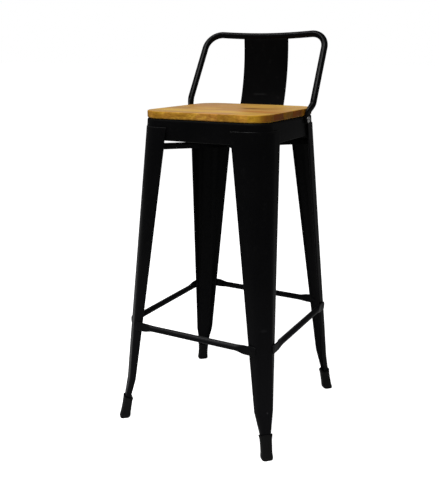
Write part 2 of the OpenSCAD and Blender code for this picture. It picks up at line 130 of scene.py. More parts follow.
# Back
BACK_D = 15.5
BACK_LEAN = math.radians(29.4)
BACK_R = 42
BACK_HALF, BACK_HALF_LOW = 162.5, 166.5
BACK_MID_H, BACK_MID_Y = 891, 160
RAIL_H = 932
RAIL_BOW, RAIL_DIP = 7, 7
RAIL_Y = BACK_MID_Y + (RAIL_H - BACK_MID_H) * math.tan(BACK_LEAN)
FIT_GAP = 0.12
TAB_LOW = node_box("backrest_tube")[0].z
TAB_TOP_H = 745
KNEE_TOP_H = 774
TAB_Y = 80
TAB_W = 22
TAB_FLAT = 5.5
TAB_ROUND = 9.3
TAB_BOLT_H = (node_box("back_washers")[0].z + node_box("back_washers")[1].z) / 2
SLAT_W = node_box("back_slat")[1].x * 2
SLAT_LOW, SLAT_HIGH = node_box("back_slat")[0].z, node_box("back_slat")[1].z
SLAT_R = 385
SLAT_T = 1.6
SLAT_MID_H, SLAT_BACK = 883, 184
SLAT_BEND_H = 737
SLAT_BEAD = 2.2
SLAT_BEAD_EASE = 12
SLAT_CORNER = 8
SLAT_BOLT_X, SLAT_BOLT_H = 35, 715
SLAT_BOLT_TURN = 17

# Bolts
BOLT_R, BOLT_HEAD_R, BOLT_HEAD_H = 3, 6.2, 3.6
BOLT_SOCKET_R, BOLT_SOCKET_DEPTH = 2.3, 1.8
BOLT_TAIL = 2
BOLT_SIDES = 48
NUT_R, NUT_H, NUT_HOLE = 5.8, 5, 3.05
WASHER_R, WASHER_T, WASHER_HOLE = 8, 1.2, 3.2
BOLT_GAP = 0.05

# Feet
FOOT_H = 60
FOOT_SLANT = 0.4
FOOT_WALL = 2
FOOT_MID_H = 45
FOOT_FLOOR = 11


# ---------------------------------------------------------------- small helpers

def clamp01(t):
    return min(1.0, max(0.0, t))


def mix(p, q, t):
    return p + (q - p) * t


def smooth(t):
    c = clamp01(t)
    return c * c * (3 - 2 * c)


def steps(start, end, count):
    """count + 1 evenly spaced numbers from start to end."""
    return [mix(start, end, i / count) for i in range(count + 1)]


def full_turn(count):
    """count angles that share out a whole turn."""
    return steps(0, 2 * math.pi, count)[:-1]


def arc(centre, r, start, end, count):
    """Points of a plane arc, with angles in degrees."""
    angles = [math.radians(f) for f in steps(start, end, count)]
    return [Vector((centre[0] + r * math.cos(f), centre[1] + r * math.sin(f))) for f in angles]


def loft(rings, caps=True):
    """Points and faces of a skin over rings with equal numbers of points."""
    n = len(rings[0])
    points = [p for ring in rings for p in ring]
    faces = []
    for i, j in product(range(len(rings) - 1), range(n)):
        k = (j + 1) % n
        faces.append((i * n + j, i * n + k, (i + 1) * n + k, (i + 1) * n + j))
    if caps:
        faces.append(tuple(range(n - 1, -1, -1)))
        faces.append(tuple(len(points) - n + j for j in range(n)))
    return points, faces


def moved(part, matrix):
    return [matrix @ Vector(p) for p in part[0]], part[1]


def turned(part, degrees):
    """A part turned about the Z axis."""
    return moved(part, Matrix.Rotation(math.radians(degrees), 4, "Z"))


def joined(parts):
    """Several (points, faces) parts as one."""
    points, faces = [], []
    for part_points, part_faces in parts:
        base = len(points)
        points += part_points
        faces += [tuple(base + i for i in face) for face in part_faces]
    return points, faces


def ring_round(radii, z):
    """Ring of points round the Z axis, one for each radius."""
    return [Vector((r * math.cos(f), r * math.sin(f), z)) for r, f in zip(radii, full_turn(len(radii)))]


def circle(r, z, sides):
    return ring_round([r] * sides, z)


def lathe(profile):
    """A profile of (radius, height) turned about +Z. It starts and ends on the axis."""
    sides = LATHE_SIDES
    points, faces = loft([circle(r, h, sides) for r, h in profile[1:-1]], caps=False)
    for tip, base in ((profile[0], 0), (profile[-1], len(points) - sides)):
        centre = len(points)
        points.append(Vector((0, 0, tip[1])))
        faces += [(base + j, base + (j + 1) % sides, centre) for j in range(sides)]
    return points, faces


def placed(origin, axis, spin=0):
    """Matrix that carries +Z to axis and the origin to a point."""
    turn = Vector(axis).to_track_quat("Z", "Y").to_matrix().to_4x4()
    return Matrix.Translation(origin) @ turn @ Matrix.Rotation(math.radians(spin), 4, "Z")


def mirror(x, y):
    return Matrix.Diagonal((x, y, 1, 1))


def add_piece(name, part, material, nodes, crease=32):
    """A mesh piece on the root body that stands for the named CAD nodes."""
    mesh = bpy.data.meshes.new(name)
    mesh.from_pydata([Vector(p) * MM for p in part[0]], [], part[1])
    shell = bmesh.new()
    shell.from_mesh(mesh)
    bmesh.ops.recalc_face_normals(shell, faces=shell.faces)
    shell.to_mesh(mesh)
    shell.free()
    dress(name, mesh, material, nodes, crease)


def dress(name, mesh, material, nodes, crease):
    """Makes the mesh a piece: its shading, its material and what it stands for."""
    mesh.shade_smooth()
    mesh.set_sharp_from_angle(angle=math.radians(crease))
    mesh.materials.append(material)
    piece = bpy.data.objects.new(name, mesh)
    bpy.context.scene.collection.objects.link(piece)
    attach(piece, "root")
    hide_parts(*nodes)


# ---------------------------------------------------------------- materials, in metres

BLACK, BLACK_CLOUD = (0.0015, 0.0015, 0.0017), (0.0024, 0.0024, 0.0027)
# Painted shade for the backrest
BLACK_PAINTED_SHADE = (0.0006, 0.0006, 0.0007)
# Dust, and for the lowest parts dust with painted light
DUST, LOW_DUST_AND_LIGHT = (0.012, 0.0115, 0.011), (0.0105, 0.0105, 0.0125)
# Painted highlights on the footrest and on the legs' top edges, and real wear on sharp edges
REST_HIGHLIGHT, RIM_HIGHLIGHT, EDGE_WEAR = (0.034, 0.034, 0.035), (0.03, 0.03, 0.031), (0.02, 0.02, 0.021)
# Painted glints and reflections
GLINT_GREY = (0.025, 0.025, 0.026)

# Place, half size and strength
PAINTED_GLINTS = (
    ((0.1735, -0.174, 0.297), (0.008, 0.008, 0.004), 0.2),  # a painted highlight on the front right leg
    ((0.1915, -0.185, 0.106), (0.0022, 0.0022, 0.0022), 0.9),  # a painted glint low on the same leg
    ((-0.009, 0.171, 0.784), (0.021, 0.01, 0.0018), 0.25),  # a painted reflection low on the slat
)

WOOD_DEEP, WOOD_PALE = (0.42, 0.205, 0.007), (0.6, 0.35, 0.022)
WOOD_PINK, WOOD_OLIVE = (0.44, 0.2, 0.045), (0.29, 0.145, 0.007)
WOOD_RING, WOOD_MOTTLE = (0.27, 0.11, 0.008), (0.31, 0.125, 0.01)
WOOD_FIBRE, WOOD_PORE, WOOD_JOINT = (0.24, 0.1, 0.008), (0.1, 0.04, 0.006), (0.14, 0.06, 0.008)
# Painted sheen for the seat's top
PAINTED_SHEEN = (0.8, 0.8, 0.8)
DAB_OLIVE, DAB_PINK = (0.24, 0.13, 0.003), (0.46, 0.2, 0.03)
FLECK_DARK, FLECK_BRIGHT = (0.19, 0.075, 0.004), (0.72, 0.42, 0.05)
END_DEEP, END_PALE, END_RING = (0.17, 0.03, 0.001), (0.25, 0.115, 0.002), (0.1, 0.035, 0.001)
LENGTH_W = 0.078
DAB_W = 0.0235
ZINC_DULL, ZINC_BRIGHT = (0.36, 0.36, 0.37), (0.62, 0.61, 0.58)
RUBBER_BLACK, RUBBER_CLOUD, SCUFF = (0.002, 0.002, 0.0022), (0.004, 0.0039, 0.004), (0.03, 0.029, 0.027)

# Place and half size along X and Y on the seat's top, strength and colour
WOOD_MARKS = (
    ((-0.075, 0.055), (0.09, 0.055), 0.45, (0.44, 0.2, 0.08)),  # a pink area
    ((-0.02, -0.1), (0.14, 0.034), 0.5, (0.68, 0.44, 0.07)),  # a pale band near the front
    ((0.1, 0.13), (0.06, 0.03), 0.5, (0.66, 0.44, 0.09)),  # a pale band near the back
    ((0.1, -0.066), (0.056, 0.014), 0.65, (0.46, 0.13, 0.012)),  # a rust-coloured streak
    ((0.05, 0.0135), (0.042, 0.013), 0.7, (0.17, 0.065, 0.01)),  # the darker wood round the knot
    ((0.042, 0.0135), (0.022, 0.009), 0.95, (0.07, 0.024, 0.005)),  # the knot
    ((0.078, 0.0135), (0.038, 0.0045), 0.75, (0.09, 0.032, 0.006)),  # the knot's tail
)


def new_material(name):
    material = bpy.data.materials.new(name)
    material.use_nodes = True
    return material, material.node_tree, material.node_tree.nodes["Principled BSDF"]


def add_node(tree, kind, inputs=None, **settings):
    """A shader node. Inputs are given by name or number, as values or as sockets to link."""
    node = tree.nodes.new("ShaderNode" + kind)
    for key, value in settings.items():
        setattr(node, key, value)
    for key, value in (inputs or {}).items():
        if isinstance(value, bpy.types.NodeSocket):
            tree.links.new(value, node.inputs[key])
        else:
            node.inputs[key].default_value = value
    return node


def object_place(tree):
    return add_node(tree, "TexCoord").outputs["Object"]


def split(tree, vector):
    return add_node(tree, "SeparateXYZ", {"Vector": vector}).outputs


def dice(tree, seed):
    """A random value and colour, the same for the same seed."""
    return add_node(tree, "TexWhiteNoise", {"W": seed}, noise_dimensions="1D").outputs


def math_node(tree, operation, *values):
    return add_node(tree, "Math", dict(enumerate(values)), operation=operation).outputs[0]


def times(tree, first, second):
    return math_node(tree, "MULTIPLY", first, second)


def absolute(tree, value):
    return math_node(tree, "ABSOLUTE", value)


def gap_to(tree, value, level):
    """Distance between a value and a level."""
    return absolute(tree, math_node(tree, "SUBTRACT", value, level))


def noise(tree, place, scale, detail, roughness=0.55):
    inputs = {"Vector": place, "Scale": scale, "Detail": detail, "Roughness": roughness}
    return add_node(tree, "TexNoise", inputs).outputs["Fac"]


def remap(tree, value, low, high, to_low=0.0, to_high=1.0):
    inputs = {"Value": value, "From Min": low, "From Max": high, "To Min": to_low, "To Max": to_high}
    return add_node(tree, "MapRange", inputs).outputs["Result"]


def blend_colours(tree, factor, first, second):
    """First where the factor is 0 and second where it is 1. Sockets 6, 7 and 2 are the colour ones."""
    node = add_node(tree, "Mix", {"Factor": factor}, data_type="RGBA")
    for socket, value in ((node.inputs[6], first), (node.inputs[7], second)):
        if isinstance(value, bpy.types.NodeSocket):
            tree.links.new(value, socket)
        else:
            socket.default_value = (*value, 1)
    return node.outputs[2]


def stretched(tree, place, x, y, z):
    return add_node(tree, "Mapping", {"Vector": place, "Scale": (x, y, z)}).outputs["Vector"]


def bump(tree, shader, height, strength, distance, below=None):
    inputs = {"Height": height, "Strength": strength, "Distance": distance}
    if below is not None:
        inputs["Normal"] = below
    node = add_node(tree, "Bump", inputs)
    tree.links.new(node.outputs["Normal"], shader.inputs["Normal"])
    return node.outputs["Normal"]


def patch(tree, place, centre, half_size, ragged):
    """1 inside a soft ellipsoid, 0 outside it. The edge is broken up by a noise."""
    away = add_node(tree, "VectorMath", {0: place, 1: centre}, operation="SUBTRACT").outputs[0]
    stretch = tuple(1 / size for size in half_size)
    scaled = add_node(tree, "VectorMath", {0: away, 1: stretch}, operation="MULTIPLY").outputs[0]
    far = add_node(tree, "VectorMath", {0: scaled}, operation="LENGTH").outputs["Value"]
    return remap(tree, math_node(tree, "ADD", far, remap(tree, ragged, 0, 1, -0.6, 0.6)), 1.1, 0.6)


def powder_coat():
    """Satin black powder coat: fine orange peel, cloudy gloss, dust, rubbed edges, painted shade on the
    backrest, and painted highlights and glints.
    """
    material, tree, shader = new_material("powder_coat")
    place = object_place(tree)
    axes = split(tree, place)
    surface = add_node(tree, "NewGeometry").outputs
    upward = split(tree, surface["Normal"])["Z"]
    cloud = noise(tree, place, 14, 4)
    peel = noise(tree, place, 1500, 2, 0.4)
    dust = remap(tree, noise(tree, place, 55, 8, 0.75), 0.56, 0.78)
    ragged = noise(tree, place, 400, 4)

    # Painted shade darkens the backrest. Towards the floor the coat turns lighter, with dust and painted
    # light
    coat = blend_colours(tree, cloud, BLACK, BLACK_CLOUD)
    coat = blend_colours(tree, remap(tree, axes["Z"], 0.74, 0.8, 0, 0.6), coat, BLACK_PAINTED_SHADE)
    coat = blend_colours(tree, remap(tree, axes["Z"], 0.5, 0.1, 0, 0.25), coat, LOW_DUST_AND_LIGHT)
    coat = blend_colours(tree, times(tree, dust, 0.3), coat, DUST)

    # Painted highlight on top of the front footrest tube, more of it to the right
    at_rest = remap(tree, gap_to(tree, axes["Z"], REST_H * MM), 0.012, 0.009)
    rest_highlight = times(tree, at_rest, remap(tree, upward, 0.2, 0.75))
    rest_highlight = times(tree, rest_highlight, remap(tree, axes["Y"], -0.15, -0.17))
    rest_highlight = times(tree, rest_highlight, remap(tree, axes["X"], -0.16, 0.08, 0.1, 0.55))
    coat = blend_colours(tree, rest_highlight, coat, REST_HIGHLIGHT)

    # Painted highlight on the top edges of the legs, on the front and rear of the stool only
    at_top = remap(tree, gap_to(tree, axes["Z"], LEG_TOP * MM), 0.0015, 0.001)
    rim = times(tree, at_top, remap(tree, upward, 0.3, 0.8, 0, 0.4))
    beside = math_node(tree, "SUBTRACT", absolute(tree, axes["Y"]), absolute(tree, axes["X"]))
    rim = times(tree, rim, remap(tree, beside, 0.004, 0.018))
    coat = blend_colours(tree, rim, coat, RIM_HIGHLIGHT)

    # Sharp edges rubbed here and there, and a few painted glints
    edge = remap(tree, surface["Pointiness"], 0.53, 0.62)
    rubbed = times(tree, edge, remap(tree, cloud, 0.45, 0.7, 0, 0.35))
    coat = blend_colours(tree, rubbed, coat, EDGE_WEAR)
    for centre, half_size, strength in PAINTED_GLINTS:
        glint = times(tree, patch(tree, place, centre, half_size, ragged), strength)
        coat = blend_colours(tree, glint, coat, GLINT_GREY)
    tree.links.new(coat, shader.inputs["Base Color"])

    # Duller where dust lies, and in the band just under the wood
    gloss = remap(tree, cloud, 0.3, 0.7, 0.29, 0.36)
    gloss = math_node(tree, "ADD", gloss, times(tree, dust, 0.12))
    above = remap(tree, axes["Z"], (PAN_TOP - 6) * MM, (PAN_TOP - 3) * MM)
    below = remap(tree, axes["Z"], (PAN_TOP + 3) * MM, (PAN_TOP + 1) * MM, 0, 0.3)
    gloss = math_node(tree, "ADD", gloss, times(tree, above, below))
    tree.links.new(gloss, shader.inputs["Roughness"])
    shader.inputs["Specular IOR Level"].default_value = 0.065
    bump(tree, shader, peel, 0.16, 0.00008, bump(tree, shader, cloud, 0.05, 0.0004))
    return material


def wood():
    """Varnished staves with the grain along X. Each stave is made of shorter lengths of its own tone."""
    material, tree, shader = new_material("varnished_wood")
    place = object_place(tree)
    axes = split(tree, place)
    facing = split(tree, add_node(tree, "NewGeometry").outputs["Normal"])
    across = math_node(tree, "DIVIDE", math_node(tree, "ADD", axes["Y"], SEAT_HALF * MM), STAVE_W * MM)
    stave = math_node(tree, "FLOOR", across)
    shift = times(tree, dice(tree, stave)["Value"], 7)
    along = math_node(tree, "ADD", math_node(tree, "DIVIDE", axes["X"], LENGTH_W), shift)
    seed = math_node(tree, "ADD", times(tree, stave, 17.3), math_node(tree, "FLOOR", along))
    tone = dice(tree, seed)["Color"]
    hues = split(tree, tone)
    own_place = add_node(tree, "VectorMath", {0: place, 1: tone}, operation="ADD").outputs[0]

    figure = noise(tree, stretched(tree, own_place, 5, 60, 60), 1.6, 4, 0.5)
    rings = remap(tree, math_node(tree, "FRACT", times(tree, figure, 9)), 0.5, 1)
    mottle = noise(tree, stretched(tree, own_place, 22, 90, 90), 1, 3, 0.6)
    fibre = noise(tree, stretched(tree, own_place, 14, 900, 900), 1, 5, 0.7)
    pores = remap(tree, noise(tree, stretched(tree, own_place, 45, 1900, 1900), 1, 3, 0.6), 0.62, 0.72)
    ragged = noise(tree, stretched(tree, place, 60, 260, 60), 1, 4, 0.7)

    colour = blend_colours(tree, hues["X"], WOOD_DEEP, WOOD_PALE)
    colour = blend_colours(tree, remap(tree, hues["Y"], 0.45, 0.75, 0, 0.7), colour, WOOD_PINK)
    colour = blend_colours(tree, remap(tree, hues["Z"], 0.62, 0.8, 0, 0.55), colour, WOOD_OLIVE)
    colour = blend_colours(tree, times(tree, rings, 0.45), colour, WOOD_RING)
    colour = blend_colours(tree, remap(tree, mottle, 0.45, 0.75, 0, 0.6), colour, WOOD_MOTTLE)

    # Painted sheen: a white haze on the faces that look up
    colour = blend_colours(tree, remap(tree, facing["Z"], 0.5, 0.95, 0, 0.06), colour, PAINTED_SHEEN)
    for centre, half_size, strength, tint in WOOD_MARKS:
        spot = patch(tree, place, (*centre, SEAT_TOP * MM), (*half_size, 1), ragged)
        colour = blend_colours(tree, times(tree, spot, strength), colour, tint)
    colour = blend_colours(tree, times(tree, fibre, 0.35), colour, WOOD_FIBRE)
    colour = blend_colours(tree, times(tree, pores, 0.35), colour, WOOD_PORE)

    # The front and rear edges: short dabs of other tones, and flecks
    edge = remap(tree, absolute(tree, facing["Y"]), 0.5, 0.8)
    dab = math_node(tree, "FLOOR", math_node(tree, "DIVIDE", axes["X"], DAB_W))
    dabs = split(tree, dice(tree, dab)["Color"])
    flecks = noise(tree, stretched(tree, place, 75, 75, 150), 1, 3, 0.65)
    for amount, tint in (
        (remap(tree, dabs["X"], 0.55, 0.75, 0, 0.65), DAB_OLIVE),
        (remap(tree, dabs["Y"], 0.5, 0.7, 0, 0.6), DAB_PINK),
        (remap(tree, flecks, 0.52, 0.66, 0, 0.6), FLECK_DARK),
        (remap(tree, flecks, 0.46, 0.34, 0, 0.45), FLECK_BRIGHT),
    ):
        colour = blend_colours(tree, times(tree, edge, amount), colour, tint)

    # The end grain on the left and right
    end = remap(tree, absolute(tree, facing["X"]), 0.55, 0.9, 0, 0.95)
    end_rings = remap(tree, noise(tree, stretched(tree, own_place, 30, 140, 330), 1, 4), 0.4, 0.65, 0, 0.5)
    end_grain = blend_colours(tree, hues["Y"], END_DEEP, END_PALE)
    end_grain = blend_colours(tree, end_rings, end_grain, END_RING)
    colour = blend_colours(tree, end, colour, end_grain)

    joint = gap_to(tree, math_node(tree, "FRACT", along), 0.5)
    colour = blend_colours(tree, remap(tree, joint, 0.49, 0.499, 0, 0.45), colour, WOOD_JOINT)
    tree.links.new(colour, shader.inputs["Base Color"])
    tree.links.new(remap(tree, fibre, 0.3, 0.7, 0.42, 0.54), shader.inputs["Roughness"])
    shader.inputs["Specular IOR Level"].default_value = 0.13
    shader.inputs["Coat Weight"].default_value = 0.03
    shader.inputs["Coat Roughness"].default_value = 0.25
    bump(tree, shader, pores, 0.2, 0.00025, bump(tree, shader, fibre, 0.12, 0.0002))
    return material


def zinc():
    """Bright zinc plating with a fine turned grain and small stains."""
    material, tree, shader = new_material("zinc_plating")
    place = object_place(tree)
    stain = noise(tree, place, 260, 5, 0.6)
    grain = noise(tree, stretched(tree, place, 400, 3500, 3500), 1, 3)
    colour = blend_colours(tree, stain, ZINC_DULL, ZINC_BRIGHT)
    tree.links.new(colour, shader.inputs["Base Color"])
    tree.links.new(remap(tree, stain, 0.3, 0.7, 0.24, 0.42), shader.inputs["Roughness"])
    shader.inputs["Metallic"].default_value = 1
    bump(tree, shader, grain, 0.15, 0.00005)
    return material


def rubber():
    """Dull black rubber, mottled, with a moulded grain and paler scuffs near the floor."""
    material, tree, shader = new_material("foot_rubber")
    place = object_place(tree)
    mottle = noise(tree, place, 120, 5, 0.6)
    grain = noise(tree, place, 2200, 2, 0.5)
    scuff = remap(tree, noise(tree, stretched(tree, place, 300, 300, 90), 1, 6, 0.7), 0.5, 0.7)
    low = remap(tree, split(tree, place)["Z"], 0.014, 0.002)
    colour = blend_colours(tree, mottle, RUBBER_BLACK, RUBBER_CLOUD)
    colour = blend_colours(tree, times(tree, times(tree, scuff, low), 0.5), colour, SCUFF)
    tree.links.new(colour, shader.inputs["Base Color"])
    tree.links.new(remap(tree, mottle, 0.3, 0.7, 0.5, 0.68), shader.inputs["Roughness"])
    shader.inputs["Specular IOR Level"].default_value = 0.17
    bump(tree, shader, grain, 0.2, 0.00008)
    return material


COAT = powder_coat()
WOOD = wood()
ZINC = zinc()
RUBBER = rubber()


# ---------------------------------------------------------------- seat

def rounded_square(half, r, z):
    """Outline of a square with round corners, anticlockwise, at height z."""
    mid = half - r
    points = []
    for corner in range(4):
        turn = Matrix.Rotation(math.radians(90 * corner), 2)
        points += [turn @ p for p in arc((mid, mid), r, 0, 90, CORNER_STEPS)]
    return [Vector((p.x, p.y, z)) for p in points]


def board():
    """The whole board, with its roundover."""
    low = arc((SEAT_EDGE, SEAT_LOW + SEAT_EDGE), SEAT_EDGE, 270, 180, 7)
    high = arc((SEAT_EDGE, SEAT_TOP - SEAT_EDGE), SEAT_EDGE, 180, 90, 7)
    inset = SEAT_EDGE + 1
    profile = [Vector((inset, SEAT_LOW))] + low + high + [Vector((inset, SEAT_TOP))]
    return loft([rounded_square(SEAT_HALF - p.x, SEAT_R - p.x, p.y) for p in profile])


def cut_stave(number):
    """One stave of the board, with its long edges eased. Staves are counted from the front."""
    mesh = bpy.data.meshes.new(f"stave_{number}")
    points, faces = board()
    mesh.from_pydata([p * MM for p in points], [], faces)
    wood_bm = bmesh.new()
    wood_bm.from_mesh(mesh)
    front = -SEAT_HALF + (number - 1) * STAVE_W
    cuts = [(front, -1), (front + STAVE_W, 1)]
    sides = [cut for cut, at in zip(cuts, (number > 1, number < STAVES)) if at]
    for y, outward in sides:
        everything = [*wood_bm.verts, *wood_bm.edges, *wood_bm.faces]
        bmesh.ops.bisect_plane(wood_bm, geom=everything, plane_co=(0, y * MM, 0), plane_no=(0, outward, 0),
                               clear_outer=True)
        rim = [e for e in wood_bm.edges if e.is_boundary]
        cut_faces = bmesh.ops.contextual_create(wood_bm, geom=rim)["faces"]
        eased = [e for face in cut_faces for e in face.edges]
        bmesh.ops.bevel(wood_bm, geom=eased, offset=STAVE_BEVEL * MM, segments=2, profile=0.6,
                        affect="EDGES")
    bmesh.ops.recalc_face_normals(wood_bm, faces=wood_bm.faces)
    wood_bm.to_mesh(mesh)
    wood_bm.free()
    return mesh


def add_seat():
    for number in range(1, STAVES + 1):
        dress(f"board_stave_{number}", cut_stave(number), WOOD, [f"seat_stave_{number}"], 40)


# ---------------------------------------------------------------- pan

def skirt_at(h):
    """Distance of the skirt's outer face from the centre of its corner."""
    return SKIRT_R - SKIRT_SLOPE * (h - SKIRT_LOW)


def skirt_face(h):
    return CORNER_MID + skirt_at(h)


def add_pan():
    bend_h = PAN_TOP - PAN_BEND
    bend = (skirt_at(bend_h) - PAN_BEND, bend_h)
    hem = (skirt_at(SKIRT_LOW + HEM_R) - HEM_R, SKIRT_LOW + HEM_R)
    centre = 0.5
    profile = [
        Vector((centre, PAN_TOP)), *arc(bend, PAN_BEND, 90, 0, 8),
        *arc(hem, HEM_R, 0, -288, 18),
        *arc(bend, PAN_BEND - PAN_T, 0, 90, 8), Vector((centre, PAN_TOP - PAN_T)),
    ]
    rings = [rounded_square(CORNER_MID + p.x, p.x, p.y) for p in profile]
    add_piece("pan_shell", loft(rings), COAT, ["seat_pan"])


def add_screws():
    """Pan-head wood screws with a round socket, under the pan."""
    head = [(0, -3.2), (1.6, -3.2), (1.7, -1.6), (1.75, -1.6), (1.8, -3.3), (3.2, -3), (4.3, -1.6)]
    head += [(SCREW_HEAD_R, -0.3), (SCREW_HEAD_R - 0.1, 0), (0, 0)]
    screw = lathe([(r, -h) for r, h in head])
    screw_mid = node_box("seat_screws")[1].x - SCREW_HEAD_R
    level = PAN_TOP - PAN_T
    spots = [(x * screw_mid, y * screw_mid, level) for x, y in product((-1, 1), repeat=2)]
    screws = joined([moved(screw, placed(spot, (0, 0, -1))) for spot in spots])
    add_piece("pan_screws", screws, ZINC, ["seat_screws"])


# ---------------------------------------------------------------- legs

def kick(h):
    """Extra outward reach near the floor, which starts with a short curve."""
    if h > KICK_H + KICK_EASE:
        return 0
    if h < KICK_H - KICK_EASE:
        return KICK_SLOPE * (KICK_H - h)
    return KICK_SLOPE * (KICK_H + KICK_EASE - h) ** 2 / (4 * KICK_EASE)


def web_a(h):
    return WEB_A + WEB_LEAN * (REF_H - h) + kick(h)


def tip_a(h):
    return TIP_A + TIP_LEAN * (REF_H - h) + kick(h) * KICK_TIP


def tip_b(h):
    straight = TIP_B - TIP_TAPER * (REF_H - max(h, KICK_H))
    return max(TIP_MIN, straight - KICK_TAPER * max(0, KICK_H - h))


def corner_b(h):
    if h > KICK_H:
        return mix(CORNER_TOP, CORNER_LOW, clamp01((REF_H - h) / (REF_H - FOLD_LOW_H)))
    return CORNER_RATIO * tip_b(h)


def fold_r(h):
    if h < KICK_H:
        return mix(FOLD_FOOT, FOLD_LOW, clamp01(h / KICK_H))
    return mix(FOLD_TOP, FOLD_LOW, clamp01((REF_H - h) / (REF_H - FOLD_LOW_H)))


def to_xy(a, b):
    return (a + b) / math.sqrt(2), (a - b) / math.sqrt(2)


def leg_ring(h, shave):
    """Section of the folded sheet at height h, taken in by shave on every face."""
    turn = math.atan2(web_a(h) - tip_a(h), tip_b(h) - corner_b(h))
    r = fold_r(h)
    mid = (web_a(h) - r, corner_b(h) - r * math.tan(turn / 2))
    along = Vector((-math.sin(turn), math.cos(turn)))
    out = Vector((math.cos(turn), math.sin(turn)))
    hem = LEG_T * clamp01((SKIRT_LOW - 1 - h) / LEG_HEM_EASE) + LEG_HEM_GAP
    sheet = LEG_T - 2 * shave
    doubled = sheet + hem
    tip = Vector((tip_a(h), tip_b(h))) - (out + along) * shave
    hem_end = tip - along * LEG_HEM_W
    round_mid = tip - (along + out) * doubled / 2
    degrees = math.degrees(turn)
    half = arc(mid, r - shave, 0, degrees, 24) + [hem_end]
    half += [round_mid + (out * math.cos(f) + along * math.sin(f)) * doubled / 2
             for f in steps(0, math.pi, 8)]
    half += [hem_end - out * doubled, hem_end - out * sheet - along * 0.4]
    half += arc(mid, r - LEG_T + shave, degrees, 0, 24)
    ring = half + [Vector((p.x, -p.y)) for p in reversed(half)]
    return [Vector((*to_xy(p.x, p.y), h)) for p in ring]


def leg():
    """The leg of the +X, +Y corner."""
    kick_high, kick_low = KICK_H + KICK_EASE, KICK_H - KICK_EASE
    levels = [(LEG_TOP, 0.7), (LEG_TOP - 0.25, 0.3), (LEG_TOP - 0.8, 0)]
    levels += [(h, 0) for h in steps(LEG_TOP - 3, LEG_HEM_FULL_H, 8)]
    levels += [(h, 0) for h in steps(LEG_HEM_FULL_H - 14, kick_high + 12, 34)]
    levels += [(h, 0) for h in steps(kick_high, kick_low, 8)]
    levels += [(h, 0) for h in steps(kick_low - 6, LEG_LOW, 10)]
    return loft([leg_ring(h, shave) for h, shave in levels])


CORNERS = {"front_left": (-1, -1), "front_right": (1, -1), "rear_left": (-1, 1), "rear_right": (1, 1)}


def add_at_corners(name, shape, material, node, crease):
    """The same shape at all four corners."""
    for corner, (x, y) in CORNERS.items():
        part = moved(shape, mirror(x, y))
        add_piece(f"{name}_{corner}", part, material, [f"{node}_{corner}"], crease)


def add_legs():
    add_at_corners("leg_shell", leg(), COAT, "leg", 38)


# ---------------------------------------------------------------- tubes

def tube_ring(point, along, plane, hu, hv, power):
    """Ring of a tube: half sizes hu and hv lie across its direction. A high power squares the section."""
    u = along.cross(plane).normalized()
    v = u.cross(along).normalized()
    ring = []
    for f in full_turn(TUBE_SIDES):
        c, s = math.cos(f), math.sin(f)
        side = math.copysign(abs(c) ** (2 / power), c) * hu
        up = math.copysign(abs(s) ** (2 / power), s) * hv
        ring.append(point + u * side + v * up)
    return ring


def rest_ring(side, d, cap):
    """Footrest tube at distance d from its middle: round, then flattened towards the end."""
    tip_x, tip_y = to_xy(tip_a(REST_H), tip_b(REST_H))
    t = smooth((d - (tip_y - REST_BLEND)) / (REST_BLEND - 6))
    hu = mix(REST_D / 2, REST_FLAT / 2 * mix(0.6, 1, cap), t)
    hv = mix(REST_D / 2, REST_FLAT_W, t) * cap
    across = mix(tip_x + 0.5, tip_x + REST_SET + REST_FLAT / 2, t)
    point, along, upright = Vector((across, side * d, REST_H)), Vector((0, 1, 0)), Vector((0, 0, 1))
    return tube_ring(point, along, upright, hu, hv, mix(2, 4, t))


def add_footrest():
    tip_y = to_xy(tip_a(REST_H), tip_b(REST_H))[1]
    end = tip_y + REST_OVERLAP
    half = [(d, 1) for d in steps(0, tip_y - REST_BLEND, 4)]
    half += [(d, 1) for d in steps(tip_y - REST_BLEND + 2, end - REST_ROUND, 22)]
    half += [(end - REST_ROUND + REST_ROUND * math.sin(f), 0.42 + 0.58 * math.cos(f))
             for f in steps(0.15, math.pi / 2, 9)]
    rings = [rest_ring(-1, d, cap) for d, cap in reversed(half[1:])]
    rings += [rest_ring(1, d, cap) for d, cap in half]
    bar = loft(rings)
    for name, turn in {"right": 0, "rear": 90, "left": 180, "front": 270}.items():
        add_piece(f"rest_tube_{name}", turned(bar, turn), COAT, [f"footrest_{name}"], 40)


def rivet(grip, shank_r, head_r, head_h, tail):
    """A domed rivet along +Z, with its grip from 0 to grip."""
    ball = (head_r ** 2 + head_h ** 2) / (2 * head_h)
    dome = [(ball * math.sin(f), grip + head_h - ball + ball * math.cos(f))
            for f in steps(0, math.asin(head_r / ball), 8)]
    end = [(head_r * 0.97, grip), (shank_r, grip), (shank_r, 0)]
    if tail:
        end += [(shank_r * 1.45, 0), (shank_r * 1.5, -tail * 0.3), (shank_r * 1.35, -tail)]
    return lathe([*dome, *end, (0, -tail)])


def add_footrest_rivets():
    tip_x, tip_y = to_xy(tip_a(REST_H), tip_b(REST_H))
    grip = REST_SET + REST_FLAT + LEG_T
    shape = rivet(grip, RIVET_R, RIVET_HEAD_R, RIVET_HEAD_H, RIVET_TAIL)
    outer = tip_x + REST_SET + REST_FLAT
    spots = [placed((outer - grip, s * (tip_y + REST_OVERLAP / 2), REST_H), (1, 0, 0)) for s in (-1, 1)]
    pair = joined([moved(shape, spot) for spot in spots])
    rivets = joined([turned(pair, 90 * i) for i in range(4)])
    add_piece("rest_rivets", rivets, COAT, ["footrest_rivets"])


# ---------------------------------------------------------------- braces

BRACE_END = web_a(BRACE_TOP) - LEG_T - BRACE_GAP


